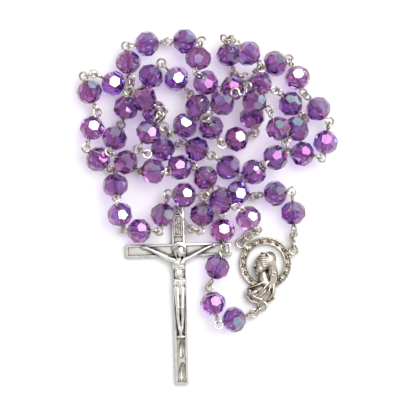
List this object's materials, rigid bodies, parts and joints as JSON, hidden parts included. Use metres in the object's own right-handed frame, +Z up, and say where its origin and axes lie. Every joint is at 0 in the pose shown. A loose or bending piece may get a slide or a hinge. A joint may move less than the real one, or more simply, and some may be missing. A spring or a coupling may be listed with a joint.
{
  "type": "rosary",
  "caption": "Rosary gathered up and laid flat: faceted purple glass beads on silver wire links, with a centrepiece medal and a crucifix.",
  "frame": {"origin": "middle of the laid-out rosary's footprint, on the table", "axes": "+Z up from the table, +Y from the foot of the crucifix towards the heap of beads, +X to the right of the crucifix seen from above"},
  "size_m": [0.0776, 0.1062, 0.0147],
  "materials": {
    "amethyst_glass": "polished, faceted, iridescent coating",
    "nickel_wire": "bright drawn wire",
    "antique_silver": "cast, darkened in the hollows",
    "champagne_silver": "cast, warm silver"
  },
  "bodies": {
    "centrepiece": {"centrepiece": "champagne_silver"},
    "loop": {"decade_1_beads_1_2": "amethyst_glass", "decade_2_beads_5_6": "amethyst_glass", "decade_2_beads_7_8": "amethyst_glass", "decade_2_beads_9_10": "amethyst_glass", "decade_3_beads_1_2": "amethyst_glass", "decade_3_beads_3_4": "amethyst_glass", "decade_3_beads_5_6": "amethyst_glass", "decade_3_beads_7_8": "amethyst_glass", "decade_3_beads_9_10": "amethyst_glass", "decade_4_beads_9_10": "amethyst_glass", "decade_5_beads_3_4": "amethyst_glass", "decade_5_beads_5_6": "amethyst_glass", "decade_5_beads_7_8": "amethyst_glass", "left_eyelet_chain": "nickel_wire", "our_father_2_pin": "nickel_wire", "right_eyelet_chain": "nickel_wire", "short_chain_3": "nickel_wire", "short_chain_4": "nickel_wire", "short_chain_5": "nickel_wire"},
    "left_bight": {"decade_1_beads_9_10": "amethyst_glass", "short_chain_1": "nickel_wire", "our_father_1_pin": "nickel_wire", "short_chain_2": "nickel_wire", "decade_2_beads_1_2": "amethyst_glass", "decade_2_beads_3_4": "amethyst_glass"},
    "right_bight": {"our_father_3_pin": "nickel_wire", "short_chain_6": "nickel_wire", "decade_4_beads_1_2": "amethyst_glass", "decade_4_beads_3_4": "amethyst_glass", "decade_4_beads_5_6": "amethyst_glass", "decade_4_beads_7_8": "amethyst_glass"},
    "lower_left_bight": {"decade_1_beads_3_4": "amethyst_glass", "decade_1_beads_5_6": "amethyst_glass", "decade_1_beads_7_8": "amethyst_glass"},
    "last_pair_bight": {"decade_5_beads_9_10": "amethyst_glass"},
    "inner_bight": {"short_chain_7": "nickel_wire", "our_father_4_pin": "nickel_wire", "short_chain_8": "nickel_wire", "decade_5_beads_1_2": "amethyst_glass"},
    "our_father_1_bead": {"our_father_1_bead": "amethyst_glass"},
    "our_father_2_bead": {"our_father_2_bead": "amethyst_glass"},
    "our_father_3_bead": {"our_father_3_bead": "amethyst_glass"},
    "our_father_4_bead": {"our_father_4_bead": "amethyst_glass"},
    "tail_chain": {"centrepiece_tail_chain": "nickel_wire", "pendant_1_pin": "nickel_wire", "pendant_2_pin": "nickel_wire", "pendant_3_pin": "nickel_wire", "pendant_4_pin": "nickel_wire"},
    "pendant_1_bead": {"pendant_1_bead": "amethyst_glass"},
    "pendant_2_bead": {"pendant_2_bead": "amethyst_glass"},
    "pendant_3_bead": {"pendant_3_bead": "amethyst_glass"},
    "pendant_4_bead": {"pendant_4_bead": "amethyst_glass"},
    "pendant_chain": {"pendant_chain": "nickel_wire"},
    "pendant_5_pin": {"pendant_5_pin": "nickel_wire"},
    "pendant_5_bead": {"pendant_5_bead": "amethyst_glass"},
    "crucifix_chain": {"crucifix_chain": "nickel_wire"},
    "jump_ring": {"crucifix_jump_ring": "nickel_wire"},
    "crucifix": {"crucifix_cross": "antique_silver", "crucifix_figure": "antique_silver"}
  },
  "joints": [
    {"name": "loop_lift", "type": "hinge", "parent": "centrepiece", "child": "loop", "pos_m": [0.00996, -0.01074, 0.0016], "axis": [0.9914, -0.1309, 0], "range_deg": [0, 10]},
    {"name": "left_bight_lift", "type": "hinge", "parent": "loop", "child": "left_bight", "pos_m": [-0.03617, 0.01755, 0.00528], "axis": [0.8183, 0.5585, 0.1356], "range_deg": [0, 30]},
    {"name": "right_bight_lift", "type": "hinge", "parent": "loop", "child": "right_bight", "pos_m": [0.00737, 0.04983, 0.0074], "axis": [-0.1399, -0.9894, -0.038], "range_deg": [0, 30]},
    {"name": "lower_left_bight_lift", "type": "hinge", "parent": "loop", "child": "lower_left_bight", "pos_m": [-0.00076, 0.0034, 0.00773], "axis": [-0.9267, 0.3703, -0.0641], "range_deg": [0, 20]},
    {"name": "last_pair_bight_lift", "type": "hinge", "parent": "loop", "child": "last_pair_bight", "pos_m": [0.01391, 0.00331, 0.00247], "axis": [0.7657, -0.6425, 0.0289], "range_deg": [0, 25]},
    {"name": "inner_bight_lift", "type": "hinge", "parent": "loop", "child": "inner_bight", "pos_m": [-0.0179, 0.01583, 0.005], "axis": [0.576, -0.774, 0.2629], "range_deg": [0, 20]},
    {"name": "our_father_1_spin", "type": "hinge", "parent": "left_bight", "child": "our_father_1_bead", "pos_m": [-0.02802, 0.03689, 0.00368], "axis": [0.8823, -0.4631, -0.0845], "continuous": true},
    {"name": "our_father_2_spin", "type": "hinge", "parent": "loop", "child": "our_father_2_bead", "pos_m": [-0.01578, 0.02823, 0.00365], "axis": [-0.5544, 0.814, 0.1733], "continuous": true},
    {"name": "our_father_3_spin", "type": "hinge", "parent": "right_bight", "child": "our_father_3_bead", "pos_m": [0.01212, 0.0455, 0.00864], "axis": [0.7259, -0.6612, 0.1897], "continuous": true},
    {"name": "our_father_4_spin", "type": "hinge", "parent": "inner_bight", "child": "our_father_4_bead", "pos_m": [-0.01741, 0.02219, 0.00794], "axis": [0.5089, 0.7495, 0.4235], "continuous": true},
    {"name": "pendant_bight_lift", "type": "hinge", "parent": "centrepiece", "child": "tail_chain", "pos_m": [0.01646, -0.02964, 0.0016], "axis": [-0.4057, 0.913, 0.043], "range_deg": [0, 12]},
    {"name": "pendant_1_spin", "type": "hinge", "parent": "tail_chain", "child": "pendant_1_bead", "pos_m": [0.00795, -0.0335, 0.00366], "axis": [-0.9219, -0.282, 0.2656], "continuous": true},
    {"name": "pendant_2_spin", "type": "hinge", "parent": "tail_chain", "child": "pendant_2_bead", "pos_m": [0.00169, -0.02872, 0.00366], "axis": [-0.2457, 0.9476, -0.2043], "continuous": true},
    {"name": "pendant_3_spin", "type": "hinge", "parent": "tail_chain", "child": "pendant_3_bead", "pos_m": [0.0029, -0.01797, 0.00379], "axis": [0.3741, 0.9102, 0.1776], "continuous": true},
    {"name": "pendant_4_spin", "type": "hinge", "parent": "tail_chain", "child": "pendant_4_bead", "pos_m": [0.00443, -0.00691, 0.00368], "axis": [-0.0552, 0.9866, -0.1535], "continuous": true},
    {"name": "pendant_chain_swing", "type": "hinge", "parent": "centrepiece", "child": "pendant_chain", "pos_m": [0.00415, -0.00194, 0.00291], "axis": [-0.6634, -0.383, 0.6428], "range_deg": [0, 4]},
    {"name": "pendant_5_swing", "type": "hinge", "parent": "pendant_chain", "child": "pendant_5_pin", "pos_m": [-0.00058, 0.00396, 0.00161], "axis": [-0.4698, 0.8138, 0.342], "range_deg": [0, 5]},
    {"name": "pendant_5_spin", "type": "hinge", "parent": "pendant_5_pin", "child": "pendant_5_bead", "pos_m": [-0.00153, -0.00218, 0.00366], "axis": [-0.1441, -0.9387, 0.3132], "continuous": true},
    {"name": "crucifix_chain_swing", "type": "hinge", "parent": "pendant_5_pin", "child": "crucifix_chain", "pos_m": [-0.00225, -0.00692, 0.00524], "axis": [-0.8138, 0.4698, 0.342], "range_deg": [0, 6]},
    {"name": "jump_ring_swing", "type": "hinge", "parent": "crucifix_chain", "child": "jump_ring", "pos_m": [-0.00515, -0.0066, 0.00394], "axis": [-0.866, 0.5, 0], "range_deg": [0, 6]},
    {"name": "crucifix_swing", "type": "hinge", "parent": "jump_ring", "child": "crucifix", "pos_m": [-0.00893, -0.00054, 0.00147], "axis": [-0.866, 0.5, 0], "range_deg": [0, 7]}
  ]
}
